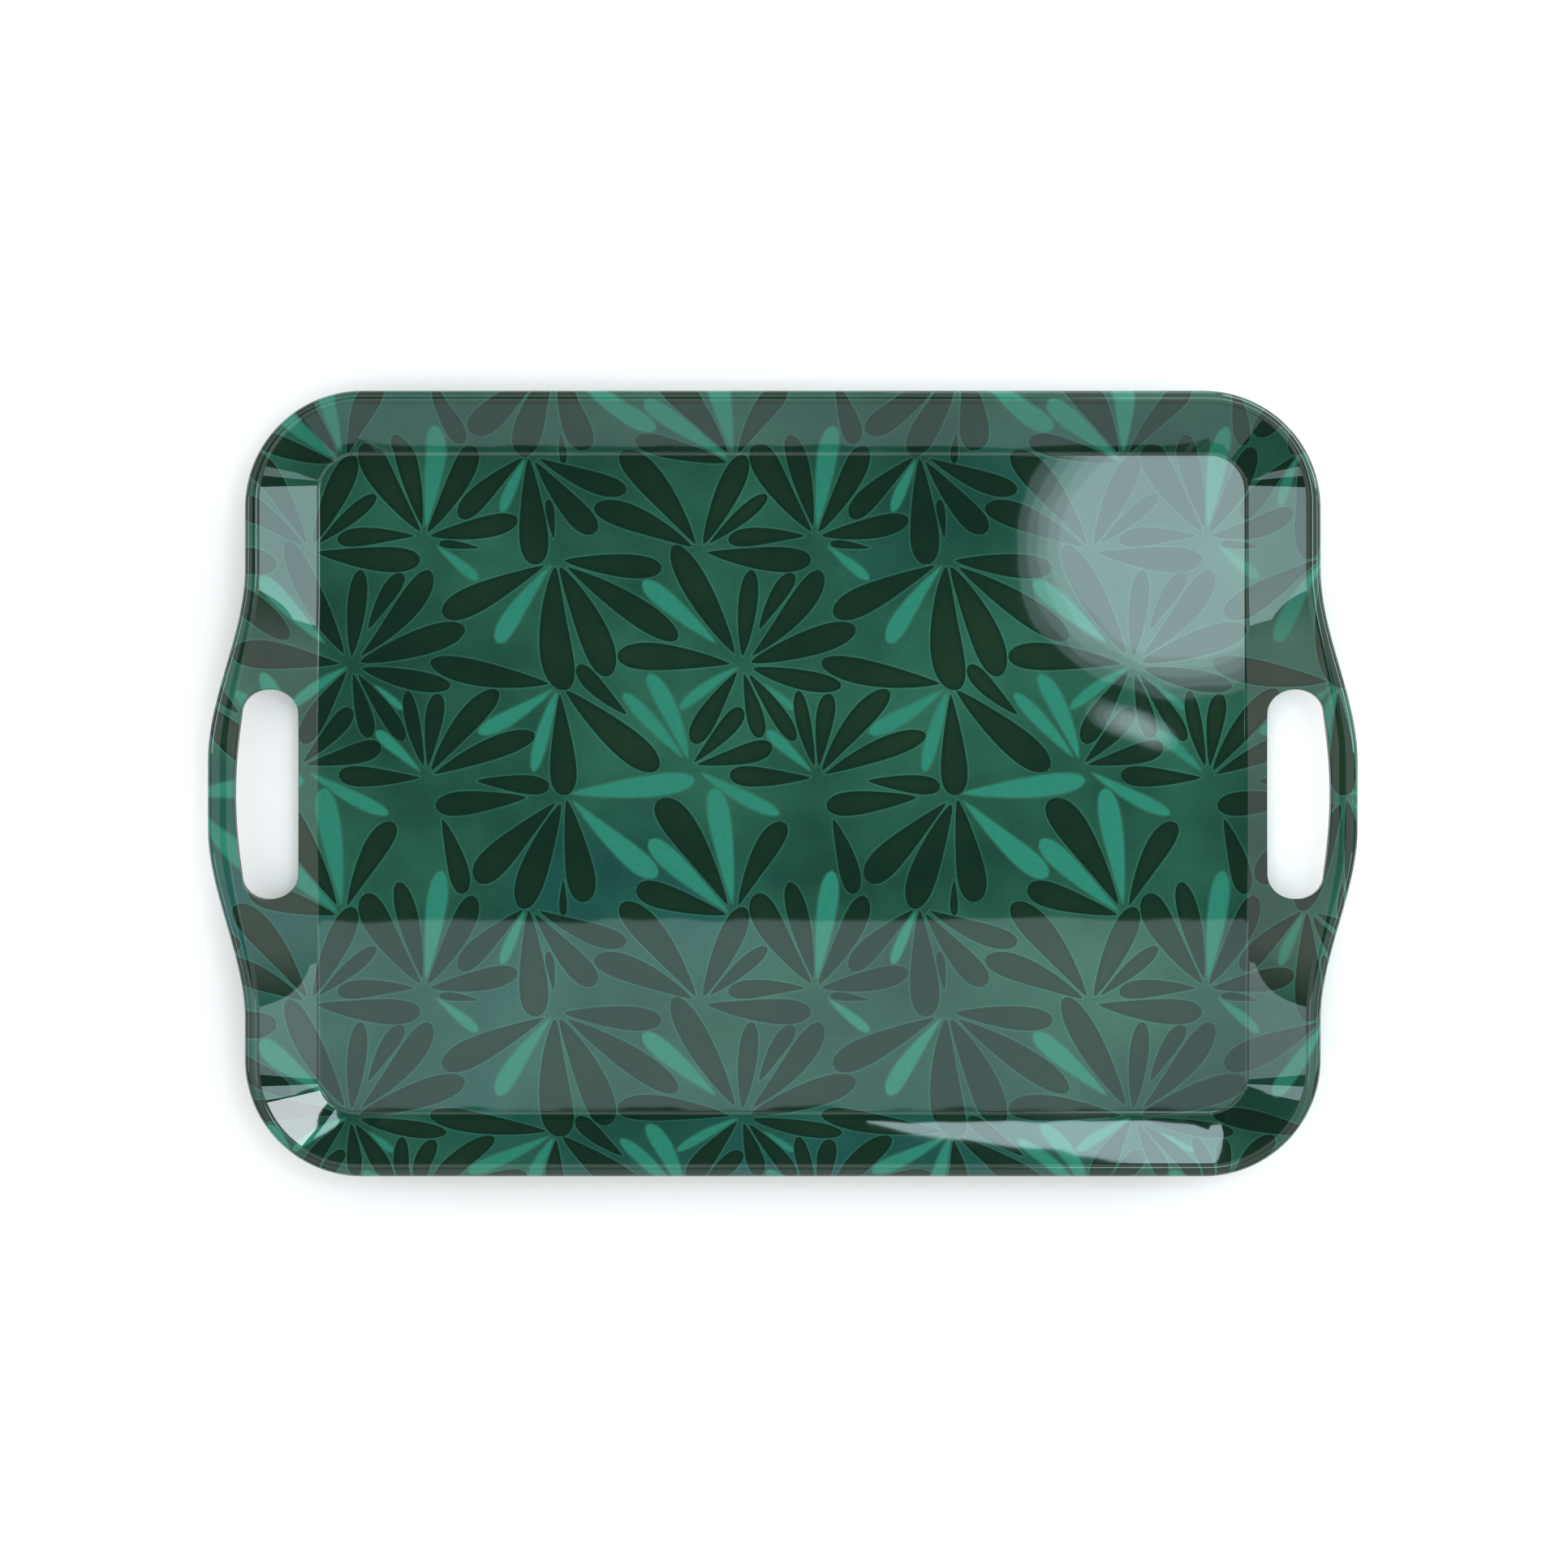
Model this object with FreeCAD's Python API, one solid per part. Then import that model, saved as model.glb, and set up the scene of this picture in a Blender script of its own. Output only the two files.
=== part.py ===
"""Moulded serving tray with two slot handles, built as its three bonded layers.

Frame: millimetres, +Z up, +X along the length. The origin is at the middle of the
footprint, on the plane that the foot ring stands on.

Every curved face is exact: a closed outline of lines, cubic flanks and circular
corners is swept along a wall section of lines and circular arcs. The outline's
control points move in proportion to the section's, so their product is the face.
"""
import FreeCAD, Part
import math
import os

from FreeCAD import Vector

# Driving dimensions
LENGTH = 480.0  # over both handles
RIM_LENGTH = 449.0  # over the short sides, beside the handles
WIDTH = 328.0  # over the long sides
HEIGHT = 25.0
FLOOR_LENGTH = 394.0
FLOOR_WIDTH = 280.0
RIM_CORNER_RADIUS = 49.0
FLOOR_CORNER_RADIUS = 16.0

# Layers, counted down from the upper face
GLAZE_THICKNESS = 0.3
FOIL_THICKNESS = 0.3
BODY_THICKNESS = 2.4

# Wall section
FLOOR_FILLET_RADIUS = 3.0
LIP_RADIUS = 4.0

# Foot ring under the floor, measured inward from the edge of the floor
FOOT_HEIGHT = 1.2
FOOT_INSET = 4.0
FOOT_WIDTH = 3.4
FOOT_DRAFT = 0.4

# Handles: each short side bulges outward, with a level crest between two flanks
HANDLE_CENTRE_Y = -4.5
HANDLE_CREST = 14.0  # half the length of the crest
HANDLE_REACH = 94.0  # half the length of the whole bulge

# Finger slots, straight on the inner side and bowed on the outer side
SLOT_LENGTH = 88.0
SLOT_WIDTH = 23.6
SLOT_INSET = 7.9  # from the edge of the floor
SLOT_BOW = 2.6
SLOT_INNER_RADIUS = 10.0
SLOT_OUTER_RADIUS = 10.6

# Worked out
STACK_THICKNESS = GLAZE_THICKNESS + FOIL_THICKNESS + BODY_THICKNESS
FLOOR_TOP = FOOT_HEIGHT + STACK_THICKNESS
RISE = HEIGHT - FLOOR_TOP
END_WALL = (RIM_LENGTH - FLOOR_LENGTH) / 2
SIDE_WALL = (WIDTH - FLOOR_WIDTH) / 2
HANDLE_BULGE = (LENGTH - RIM_LENGTH) / 2

# The wall's straight slope touches the lip's circle, whose centre is set by the rim
LIP_CENTRE = (END_WALL - LIP_RADIUS, RISE - LIP_RADIUS)
SLOPE = math.atan2(LIP_CENTRE[1], LIP_CENTRE[0]) + math.asin(LIP_RADIUS / math.hypot(*LIP_CENTRE))
FILLET_CENTRE = (-FLOOR_FILLET_RADIUS * math.tan(SLOPE / 2), FLOOR_FILLET_RADIUS)


def blend(first, second, share):
    """Point or number between two others."""
    return first + (second - first) * share


def outline(out, height):
    """Control points of the tray's outline, at a distance out from the floor's edge.

    The outline runs counterclockwise as a list of spans, and a span is a list of
    (point, weight) pairs: two for a line, three for a corner, four for a flank.
    """
    share = out / END_WALL
    half_x = FLOOR_LENGTH / 2 + out
    half_y = FLOOR_WIDTH / 2 + share * SIDE_WALL
    radius = blend(FLOOR_CORNER_RADIUS, RIM_CORNER_RADIUS, share)
    swell = max((out - FILLET_CENTRE[0]) / (END_WALL - FILLET_CENTRE[0]), 0.0)
    crest_x = half_x + swell * HANDLE_BULGE
    z = FLOOR_TOP + height

    def short_side(sign):
        """Flank, crest and flank of a handle."""
        flank_start = Vector(sign * half_x, HANDLE_CENTRE_Y - sign * HANDLE_REACH, z)
        crest_start = Vector(sign * crest_x, HANDLE_CENTRE_Y - sign * HANDLE_CREST, z)
        crest_end = Vector(sign * crest_x, HANDLE_CENTRE_Y + sign * HANDLE_CREST, z)
        flank_end = Vector(sign * half_x, HANDLE_CENTRE_Y + sign * HANDLE_REACH, z)
        return [flank(flank_start, crest_start), line(crest_start, crest_end), flank(crest_end, flank_end)]

    def flank(start, end):
        """Cubic that leaves and arrives along Y."""
        third = Vector(0, (end.y - start.y) / 3, 0)
        return [(start, 1.0), (start + third, 1.0), (end - third, 1.0), (end, 1.0)]

    def line(start, end):
        return [(start, 1.0), (end, 1.0)]

    def corner(sign_x, sign_y):
        """Quarter circle, counterclockwise."""
        tip = Vector(sign_x * half_x, sign_y * half_y, z)
        on_end = tip - Vector(0, sign_y * radius, 0)
        on_side = tip - Vector(sign_x * radius, 0, 0)
        start, end = (on_end, on_side) if sign_x == sign_y else (on_side, on_end)
        return [(start, 1.0), (tip, math.sqrt(0.5)), (end, 1.0)]

    bends = short_side(1) + [corner(1, 1), corner(-1, 1)]
    bends += short_side(-1) + [corner(-1, -1), corner(1, -1)]
    spans = []
    for bend, following in zip(bends, bends[1:] + bends[:1]):
        spans.append(bend)
        if (bend[-1][0] - following[0][0]).Length > 1e-9:
            spans.append(line(bend[-1][0], following[0][0]))
    return spans


def ring(out, height):
    """The outline as a closed wire."""
    edges = []
    for span in outline(out, height):
        curve = Part.BezierCurve()
        curve.setPoles([point for point, weight in span])
        for index, (point, weight) in enumerate(span):
            curve.setWeight(index + 1, weight)
        edges.append(curve.toShape())
    return Part.Wire(edges)


def section_line(start, end):
    """Straight stretch of wall section, as (out, height, weight) control points."""
    return [(*start, 1.0), (*end, 1.0)]


def section_arc(centre, radius, start, end):
    """Arc of wall section between two angles, as (out, height, weight) control points."""
    half = (end - start) / 2
    reach = radius / math.cos(half)
    polar = [(start, radius, 1.0), (start + half, reach, math.cos(half)), (end, radius, 1.0)]
    return [(centre[0] + r * math.cos(a), centre[1] + r * math.sin(a), w) for a, r, w in polar]


def wall_section(depth):
    """Section of the face at a depth under the upper face: fillet, slope and lip."""
    down = -math.pi / 2
    over = math.pi / 2 + SLOPE
    fillet = section_arc(FILLET_CENTRE, FLOOR_FILLET_RADIUS + depth, down, down + SLOPE)
    lip_rise = section_arc(LIP_CENTRE, LIP_RADIUS - depth, over, over / 2)
    lip_fall = section_arc(LIP_CENTRE, LIP_RADIUS - depth, over / 2, 0.0)
    slope = section_line(fillet[-1][:2], lip_rise[0][:2])
    return [fillet, slope, lip_rise, lip_fall]


def swept_faces(section):
    """One face for each span of the outline, along a stretch of wall section."""
    rows = [outline(out, height) for out, height, weight in section]
    faces = []
    for spans in zip(*rows):
        poles = [[point for point, weight in span] for span in spans]
        weights = [[w * row[2] for point, w in span] for span, row in zip(spans, section)]
        degrees = (len(poles) - 1, len(poles[0]) - 1)
        mults = [[degree + 1] * 2 for degree in degrees]
        surface = Part.BSplineSurface()
        surface.buildFromPolesMultsKnots(poles, *mults, [0, 1], [0, 1], False, False, *degrees, weights)
        faces.append(surface.toShape())
    return faces


def level_band(outer, inner):
    """Level face between two closed wires."""
    return Part.makeFace([outer, inner], "Part::FaceMakerBullseye")


def closed_solid(faces):
    """Sew faces into one solid with outward normals."""
    shell = Part.makeShell(faces)
    shell.sewShape()
    solid = Part.makeSolid(shell)
    if solid.Volume < 0:
        solid.reverse()
    return solid


def layer(top_depth, bottom_depth, underside=None):
    """Solid between two depths. underside makes the faces inside the lower fillet."""
    upper = wall_section(top_depth)
    lower = wall_section(bottom_depth)
    faces = [Part.Face(ring(*upper[0][0][:2]))]
    for section in upper + lower:
        faces += swept_faces(section)
    faces.append(level_band(ring(*upper[-1][-1][:2]), ring(*lower[-1][-1][:2])))
    floor_edge = ring(*lower[0][0][:2])
    faces += underside(floor_edge) if underside else [Part.Face(floor_edge)]
    return closed_solid(faces)


def foot_faces(floor_edge):
    """Underside of the body: level margin, foot ring and level middle."""
    under = -STACK_THICKNESS
    sole = under - FOOT_HEIGHT
    outer = -FOOT_INSET
    inner = outer - FOOT_WIDTH
    outer_flank = [(outer, under), (outer - FOOT_DRAFT, sole)]
    inner_flank = [(inner + FOOT_DRAFT, sole), (inner, under)]
    faces = [
        level_band(floor_edge, ring(*outer_flank[0])),
        level_band(ring(*outer_flank[1]), ring(*inner_flank[0])),
        Part.Face(ring(*inner_flank[1])),
    ]
    return faces + swept_faces(section_line(*outer_flank)) + swept_faces(section_line(*inner_flank))


def slot_cutter(sign):
    """Upright prism through one handle."""
    inner = FLOOR_LENGTH / 2 + SLOT_INSET
    outer = inner + SLOT_WIDTH
    shoulder = outer - SLOT_BOW
    half = SLOT_LENGTH / 2

    def at(x, y):
        return Vector(sign * x, HANDLE_CENTRE_Y + y, -HEIGHT)

    def rounded(side_x, inward, end, radius):
        """Quarter circle from a side of the slot, inward to one of its ends."""
        hip = radius * (1.0 - math.sqrt(0.5))
        on_side = at(side_x, end * (half - radius))
        bend = at(side_x + inward * hip, end * (half - hip))
        return Part.Arc(on_side, bend, at(side_x + inward * radius, end * half))

    straight = half - SLOT_INNER_RADIUS
    bowed = half - SLOT_OUTER_RADIUS
    edges = [
        Part.LineSegment(at(inner, -straight), at(inner, straight)),
        Part.Arc(at(shoulder, -bowed), at(outer, 0), at(shoulder, bowed)),
    ]
    for end in (-1, 1):
        near = at(inner + SLOT_INNER_RADIUS, end * half)
        far = at(shoulder - SLOT_OUTER_RADIUS, end * half)
        edges.append(Part.LineSegment(near, far))
        edges.append(rounded(inner, 1, end, SLOT_INNER_RADIUS))
        edges.append(rounded(shoulder, -1, end, SLOT_OUTER_RADIUS))
    outline_edges = Part.sortEdges([edge.toShape() for edge in edges])[0]
    return Part.Face(Part.Wire(outline_edges)).extrude(Vector(0, 0, 3 * HEIGHT))


def build():
    """The three layers, each with both finger slots cut through."""
    foil_top = GLAZE_THICKNESS
    body_top = GLAZE_THICKNESS + FOIL_THICKNESS
    layers = {
        "glaze_coat": layer(0.0, foil_top),
        "printed_foil": layer(foil_top, body_top),
        "moulded_body": layer(body_top, STACK_THICKNESS, foot_faces),
    }
    for sign in (-1, 1):
        for name in layers:
            layers[name] = layers[name].cut(slot_cutter(sign))
    return {name: shape.Solids[0] for name, shape in layers.items()}


os.makedirs("parts", exist_ok=True)
for name, solid in build().items():
    box = solid.BoundBox
    size = [round(value, 2) for value in (box.XLength, box.YLength, box.ZMin, box.ZMax)]
    print(name, "valid" if solid.isValid() else "NOT VALID", round(solid.Volume), "mm3", size)
    solid.exportStep("parts/" + name + ".step")
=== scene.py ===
"""Glossy melamine tray with an all-over leaf print: looks and lighting around the CAD frame.

Metres, +Z up, +X along the tray. The tray's outline and wall section follow the CAD
part's own formulas, so the smooth meshes here lie on the CAD solids.
"""
import math
import random

import bpy
import numpy as np
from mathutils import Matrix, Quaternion, Vector


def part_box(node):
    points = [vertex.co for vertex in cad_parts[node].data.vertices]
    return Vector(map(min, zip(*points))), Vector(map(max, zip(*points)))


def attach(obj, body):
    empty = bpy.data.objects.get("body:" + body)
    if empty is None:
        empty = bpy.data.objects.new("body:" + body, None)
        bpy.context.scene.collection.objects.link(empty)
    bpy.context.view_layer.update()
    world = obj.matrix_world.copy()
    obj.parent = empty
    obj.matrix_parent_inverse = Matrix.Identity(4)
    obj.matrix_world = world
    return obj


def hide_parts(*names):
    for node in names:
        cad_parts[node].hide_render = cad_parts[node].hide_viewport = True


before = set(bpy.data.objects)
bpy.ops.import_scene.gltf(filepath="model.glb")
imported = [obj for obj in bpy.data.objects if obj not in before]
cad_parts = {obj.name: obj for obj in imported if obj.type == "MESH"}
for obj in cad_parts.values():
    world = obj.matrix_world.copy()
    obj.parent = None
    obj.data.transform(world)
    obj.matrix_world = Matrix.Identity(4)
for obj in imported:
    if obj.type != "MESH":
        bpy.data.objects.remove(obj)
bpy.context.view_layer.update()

MM = 0.001

# Driving dimensions, as in the CAD part
FLOOR_LENGTH = 394 * MM
FLOOR_WIDTH = 280 * MM
RIM_LENGTH = 449 * MM
RIM_CORNER_RADIUS = 49 * MM
FLOOR_CORNER_RADIUS = 16 * MM
FLOOR_FILLET_RADIUS = 3 * MM
LIP_RADIUS = 4 * MM
SKIN_THICKNESS = 0.6 * MM
STACK_THICKNESS = 3 * MM
FOOT_HEIGHT = 1.2 * MM
FOOT_INSET = 4 * MM
FOOT_WIDTH = 3.4 * MM
FOOT_DRAFT = 0.4 * MM
HANDLE_CENTRE_Y = -4.5 * MM
HANDLE_CREST = 14 * MM
HANDLE_REACH = 94 * MM
SLOT_LENGTH = 88 * MM
SLOT_WIDTH = 23.6 * MM
SLOT_INSET = 7.9 * MM
SLOT_BOW = 2.6 * MM
SLOT_INNER_RADIUS = 10 * MM
SLOT_OUTER_RADIUS = 10.6 * MM
SLOT_TOP_ROUND = 0.5 * MM
SLOT_UNDER_ROUND = 0.8 * MM

# Worked out, with the overall size taken from the frame
glaze_low, glaze_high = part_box("glaze_coat")
LENGTH = glaze_high[0] - glaze_low[0]
WIDTH = glaze_high[1] - glaze_low[1]
FLOOR_TOP = FOOT_HEIGHT + STACK_THICKNESS
RISE = glaze_high[2] - FLOOR_TOP
END_WALL = (RIM_LENGTH - FLOOR_LENGTH) / 2
SIDE_WALL = (WIDTH - FLOOR_WIDTH) / 2
HANDLE_BULGE = (LENGTH - RIM_LENGTH) / 2
CORNER_GROWTH = (RIM_CORNER_RADIUS - FLOOR_CORNER_RADIUS) / END_WALL
SIDE_SHARE = SIDE_WALL / END_WALL
LIP_CENTRE = (END_WALL - LIP_RADIUS, RISE - LIP_RADIUS)
SLOPE = math.atan2(LIP_CENTRE[1], LIP_CENTRE[0]) + math.asin(LIP_RADIUS / math.hypot(*LIP_CENTRE))
FILLET_CENTRE = (-FLOOR_FILLET_RADIUS * math.tan(SLOPE / 2), FLOOR_FILLET_RADIUS)
SWELL_RATE = 1 / (END_WALL - FILLET_CENTRE[0])

# Mesh density
CORNER_CELLS = 28
SIDE_CELLS = 48
JOINT_CELLS = 6
FLANK_CELLS = 32
CREST_CELLS = 12
FILLET_CELLS = 6
SLOPE_CELLS = 10
LIP_CELLS = 14
ROUND_CELLS = 4
SLOT_MARGIN_CELLS = 15  # cells of each flank beside the slot
SLOT_LAYERS = 4
FLOOR_LAYERS = 4
FLOOR_MARGIN = 0.86  # the floor's inner grid, as a share of its outline
ARC_POINTS = 60  # points of each arc of the slot's dense outline
SLOT_SIDE_CELLS = 2 * SLOT_MARGIN_CELLS + CREST_CELLS
WELD_DIGITS = 8  # corners that agree to this many decimals are one vertex
NO_LENGTH = 1e-9


# ---------------------------------------------------------------- outline

def bulge_at(distance):
    """Share of the handle's bulge at a distance from its middle, and how fast it changes."""
    flank = HANDLE_REACH - HANDLE_CREST
    t = min(max((abs(distance) - HANDLE_CREST) / flank, 0.0), 1.0)
    rate = -6 * t * (1 - t) / flank * math.copysign(1, distance)
    return 1 - t * t * (3 - 2 * t), rate


def side_station(sign, y):
    """Station on a short side: its place is base + out * drift + swell * bulge."""
    bulge = HANDLE_BULGE * bulge_at(y - HANDLE_CENTRE_Y)[0]
    return ((sign * FLOOR_LENGTH / 2, y), (sign, 0.0), (sign * bulge, 0.0))


def corner_station(sign_x, sign_y, angle):
    """Station on a corner, at an angle about the corner's centre."""
    radius = FLOOR_CORNER_RADIUS
    turn = (math.cos(angle), math.sin(angle))
    base = (sign_x * (FLOOR_LENGTH / 2 - radius) + radius * turn[0],
            sign_y * (FLOOR_WIDTH / 2 - radius) + radius * turn[1])
    drift = (sign_x * (1 - CORNER_GROWTH) + CORNER_GROWTH * turn[0],
             sign_y * (SIDE_SHARE - CORNER_GROWTH) + CORNER_GROWTH * turn[1])
    return (base, drift, (0.0, 0.0))


def between(first, second, cells):
    """Stations on a straight stretch, without its two ends."""
    first, second = np.array(first), np.array(second)
    return [tuple(map(tuple, first + (second - first) * k / cells)) for k in range(1, cells)]


def quarter(sign_x, sign_y):
    """Stations of one corner, counterclockwise, both ends included."""
    half_turns = {(1, 1): 0.0, (-1, 1): 0.5, (-1, -1): 1.0, (1, -1): 1.5}
    start = half_turns[sign_x, sign_y] * math.pi
    turns = [start + math.pi / 2 * k / CORNER_CELLS for k in range(CORNER_CELLS + 1)]
    return [corner_station(sign_x, sign_y, turn) for turn in turns]


def short_side(sign):
    """Stations of a handle's flanks and crest, counterclockwise, both ends included."""
    flank = (HANDLE_REACH - HANDLE_CREST) / FLANK_CELLS
    marks = [-HANDLE_REACH + k * flank for k in range(FLANK_CELLS)]
    marks += [HANDLE_CREST * (2 * k / CREST_CELLS - 1) for k in range(CREST_CELLS)]
    marks += [HANDLE_CREST + k * flank for k in range(FLANK_CELLS + 1)]
    return [side_station(sign, HANDLE_CENTRE_Y + sign * mark) for mark in marks]


def all_stations():
    """The whole outline counterclockwise, from the low end of the right handle.

    Each station is its base, its drift and its bulge, as side_station says.
    """
    stretches = [
        (short_side(1), JOINT_CELLS),
        (quarter(1, 1), SIDE_CELLS),
        (quarter(-1, 1), JOINT_CELLS),
        (short_side(-1), JOINT_CELLS),
        (quarter(-1, -1), SIDE_CELLS),
        (quarter(1, -1), JOINT_CELLS),
    ]
    stations = []
    for index, (stretch, cells) in enumerate(stretches):
        following = stretches[(index + 1) % len(stretches)][0]
        stations += stretch + between(stretch[-1], following[0], cells)
    return np.array(stations)


STATIONS = all_stations()
COUNT = len(STATIONS)
HANDLE_SPAN = COUNT // 2  # columns from one handle to the other
SHEET = "sheet"  # the mesh attribute with the print position


def swell(out):
    """Share of the handle's full bulge at a distance out from the floor's edge."""
    return max(out - FILLET_CENTRE[0], 0.0) * SWELL_RATE


def ring(out, height):
    """The outline's points at a distance out from the floor's edge and a height over the floor."""
    flat = STATIONS[:, 0] + out * STATIONS[:, 1] + swell(out) * STATIONS[:, 2]
    return np.column_stack([flat, np.full(COUNT, FLOOR_TOP + height)])


def ring_normals(out, pitch):
    """Upward or outward normals on a ring where the section climbs at an angle."""
    place = ring(out, 0.0)[:, :2]
    along = np.roll(place, -1, 0) - np.roll(place, 1, 0)
    climb = STATIONS[:, 1] + (SWELL_RATE if out >= FILLET_CENTRE[0] else 0.0) * STATIONS[:, 2]
    section = np.column_stack([climb * math.cos(pitch), np.full(COUNT, math.sin(pitch))])
    return unit(np.cross(section, np.column_stack([along, np.zeros(COUNT)])))


def unit(vectors):
    return vectors / np.linalg.norm(vectors, axis=-1, keepdims=True)


# ---------------------------------------------------------------- wall section

def arc_rows(centre, radius, start, end, cells):
    """Rows (out, height, pitch) along an arc of the section."""
    turns = np.linspace(start, end, cells + 1)
    lean = math.pi / 2 if end > start else -math.pi / 2
    x, y = centre
    return [(x + radius * math.cos(a), y + radius * math.sin(a), a + lean) for a in turns]


def section_rows(depth):
    """Fillet, slope and lip rows of the face at a depth under the upper face."""
    down = -math.pi / 2
    fillet = arc_rows(FILLET_CENTRE, FLOOR_FILLET_RADIUS + depth, down, down + SLOPE, FILLET_CELLS)
    lip = arc_rows(LIP_CENTRE, LIP_RADIUS - depth, math.pi / 2 + SLOPE, 0.0, LIP_CELLS)
    shares = np.linspace(0, 1, SLOPE_CELLS + 1)
    start, end = np.array(fillet[-1][:2]), np.array(lip[0][:2])
    slope = [(*(start + (end - start) * share), SLOPE) for share in shares]
    return fillet, slope, lip


def print_lengths(rows, start):
    """Unrolled distance up the wall of each row's points, beyond a starting length."""
    places = [ring(out, height) for out, height, pitch in rows]
    lengths = [start]
    for first, second in zip(places, places[1:]):
        lengths.append(lengths[-1] + np.linalg.norm(second - first, axis=1))
    return lengths


FLOOR_EDGE = ring(FILLET_CENTRE[0], 0.0)[:, :2]


def on_sheet(places, lengths):
    """Where points of the wall lie on the flat print sheet."""
    heading = places[:, :2] - FLOOR_EDGE
    size = np.linalg.norm(heading, axis=1, keepdims=True)
    heading = np.divide(heading, size, out=np.zeros_like(heading), where=size > NO_LENGTH)
    return FLOOR_EDGE + heading * np.reshape(lengths, (-1, 1))


# ---------------------------------------------------------------- faces

class Surface:
    """Faces with a normal and a print position for every corner, welded into one mesh."""

    def __init__(self):
        self.places, self.normals, self.sheets = [], [], []

    def grid(self, places, normals, sheets, keep=None):
        """Quads over a (rows, columns) grid of points. keep says which of its cells."""
        places, normals, sheets = map(cell_corners, (places, normals, sheets))
        facing = np.cross(places[:, :, 2] - places[:, :, 0], places[:, :, 3] - places[:, :, 1])
        backward = (facing * normals.sum(2)).sum(-1) < 0
        if keep is None:
            keep = np.full(backward.shape, True)
        for corners, kept in ((places, self.places), (normals, self.normals), (sheets, self.sheets)):
            corners[backward] = corners[backward][:, ::-1]
            kept.append(corners[keep].reshape(-1, corners.shape[-1]))

    def build(self, name):
        """One welded object, with its own shading normals."""
        places = np.round(np.concatenate(self.places), WELD_DIGITS)
        spots, first, index = np.unique(places, axis=0, return_index=True, return_inverse=True)
        mesh = bpy.data.meshes.new(name)
        mesh.from_pydata(spots.tolist(), [], index.reshape(-1, 4).tolist())
        flat = np.concatenate(self.sheets)[first]
        sheet = mesh.attributes.new(SHEET, "FLOAT_VECTOR", "POINT")
        sheet.data.foreach_set("vector", np.column_stack([flat, np.ones(len(flat))]).ravel())
        mesh.shade_smooth()
        mesh.normals_split_custom_set(np.concatenate(self.normals).tolist())
        thing = bpy.data.objects.new(name, mesh)
        bpy.context.scene.collection.objects.link(thing)
        return thing


def cell_corners(grid):
    """The four corners of every cell of a grid of points."""
    grid = np.asarray(grid, float)
    return np.stack([grid[:-1, :-1], grid[:-1, 1:], grid[1:, 1:], grid[1:, :-1]], axis=2)


def closed(rows):
    """Rings as a grid whose last column is its first."""
    rows = np.asarray(rows)
    return np.concatenate([rows, rows[:, :1]], axis=1)


def band(surface, rows, side, lengths, keep=None):
    """Ring-shaped stretch of wall. side is 1 for upper faces and -1 for lower ones."""
    places = [ring(out, height) for out, height, pitch in rows]
    normals = [side * ring_normals(out, pitch) for out, height, pitch in rows]
    sheets = [on_sheet(place, length) for place, length in zip(places, lengths)]
    surface.grid(closed(places), closed(normals), closed(sheets), keep)


def flat_band(surface, rings, facing):
    """Level or steep stretch between two rings of points, with the given normals."""
    normals = [np.broadcast_to(facing, r.shape) for r in rings]
    surface.grid(closed(rings), closed(normals), closed([r[:, :2] for r in rings]))


def fill_ring(surface, edge, side):
    """Level floor inside a ring: layers in to a rectangle, then a plain grid."""
    half = CORNER_CELLS // 2
    short = len(short_side(1)) - 1 + 2 * JOINT_CELLS + CORNER_CELLS
    long = SIDE_CELLS + CORNER_CELLS
    start = COUNT - JOINT_CELLS - half  # the middle of the corner where +X meets -Y
    edge = np.roll(edge, -start, 0)
    x = edge[:, 0].max() * FLOOR_MARGIN
    y = edge[:, 1].max() - edge[:, 0].max() * (1 - FLOOR_MARGIN)
    z = edge[0, 2]
    up, across = np.linspace(-y, y, short + 1), np.linspace(x, -x, long + 1)
    border = [(x, v) for v in up[:-1]] + [(u, y) for u in across[:-1]]
    border += [(-x, v) for v in up[:0:-1]] + [(u, -y) for u in across[:0:-1]]
    border = np.column_stack([np.array(border), np.full(len(border), z)])
    facing = np.array([0.0, 0.0, side])
    layers = [edge + (border - edge) * k / FLOOR_LAYERS for k in range(FLOOR_LAYERS)] + [border]
    flat_band(surface, layers, facing)
    inner = np.array([[(u, v, z) for v in up] for u in across])
    surface.grid(inner, np.broadcast_to(facing, inner.shape), inner[..., :2])


# ---------------------------------------------------------------- finger slots

def slot_curve():
    """The slot's closed outline in plan at the right end, as dense points and outward normals.

    It runs counterclockwise, from the middle of the rounding between inner side and low end.
    """
    inner = FLOOR_LENGTH / 2 + SLOT_INSET
    outer = inner + SLOT_WIDTH
    shoulder = outer - SLOT_BOW
    half = SLOT_LENGTH / 2
    edge = half - SLOT_OUTER_RADIUS
    bow = (edge ** 2 + SLOT_BOW ** 2) / (2 * SLOT_BOW)
    lean = math.asin(edge / bow)
    near = (inner + SLOT_INNER_RADIUS, half - SLOT_INNER_RADIUS)
    far = (shoulder - SLOT_OUTER_RADIUS, edge)
    arcs = [  # centre, radius, and the first and last angle in half turns
        (near[0], -near[1], SLOT_INNER_RADIUS, 1.25, 1.5),
        (far[0], -far[1], SLOT_OUTER_RADIUS, 1.5, 2.0),
        (outer - bow, 0.0, bow, -lean / math.pi, lean / math.pi),
        (far[0], far[1], SLOT_OUTER_RADIUS, 0.0, 0.5),
        (near[0], near[1], SLOT_INNER_RADIUS, 0.5, 1.0),
        (near[0], -near[1], SLOT_INNER_RADIUS, 1.0, 1.25),
    ]
    places, normals = [], []
    for x, y, radius, start, end in arcs:
        for turn in np.linspace(start, end, ARC_POINTS) * math.pi:
            heading = np.array([math.cos(turn), math.sin(turn)])
            places.append(np.array([x, y + HANDLE_CENTRE_Y]) + radius * heading)
            normals.append(heading)
    return np.array(places), np.array(normals)


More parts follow.
